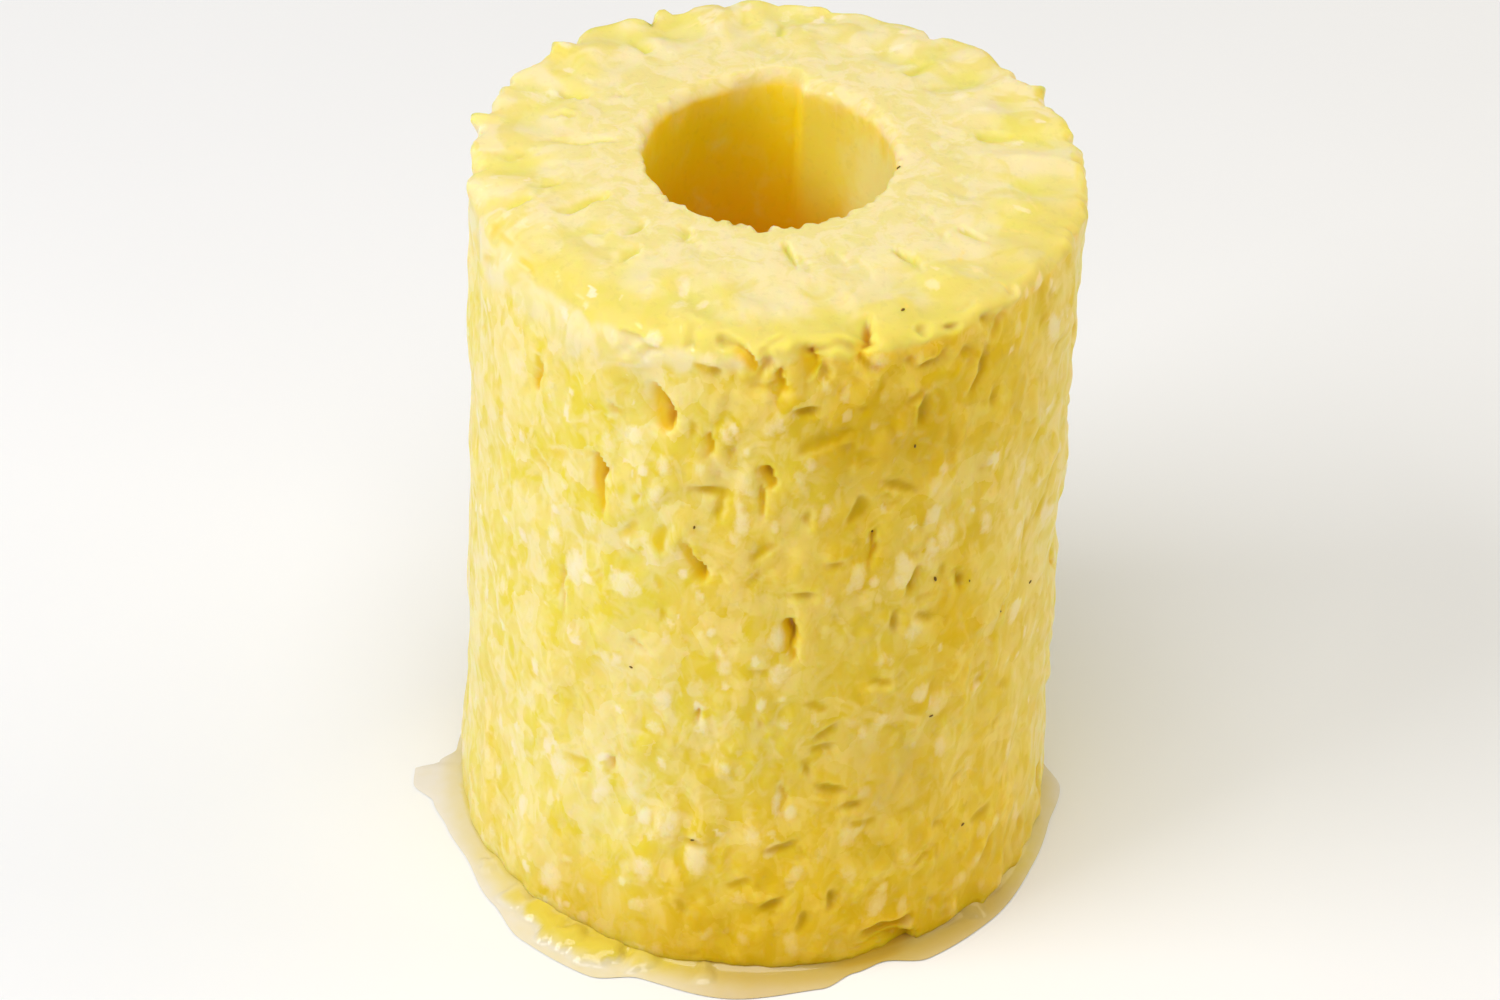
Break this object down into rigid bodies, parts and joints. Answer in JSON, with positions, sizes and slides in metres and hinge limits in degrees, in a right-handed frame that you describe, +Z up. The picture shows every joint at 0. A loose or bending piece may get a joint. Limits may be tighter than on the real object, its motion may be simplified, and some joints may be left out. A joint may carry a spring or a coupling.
{
  "type": "peeled and cored pineapple cylinder",
  "caption": "Fresh peeled pineapple cut as an upright cylinder, with a round bore where the core was removed, pitted wet flesh and a ragged top rim.",
  "frame": {"origin": "middle of the foot's outline on the surface it stands on, at the bottom centre of the bounding box", "axes": "+Z up along the cylinder, -Y towards the side that the picture shows, +X to the right of that side"},
  "size_m": [0.092, 0.0914, 0.1171],
  "materials": {
    "flesh": "wet, juicy, slightly translucent fruit flesh"
  },
  "bodies": {
    "root": {"pineapple_flesh": "flesh"}
  },
  "joints": []
}
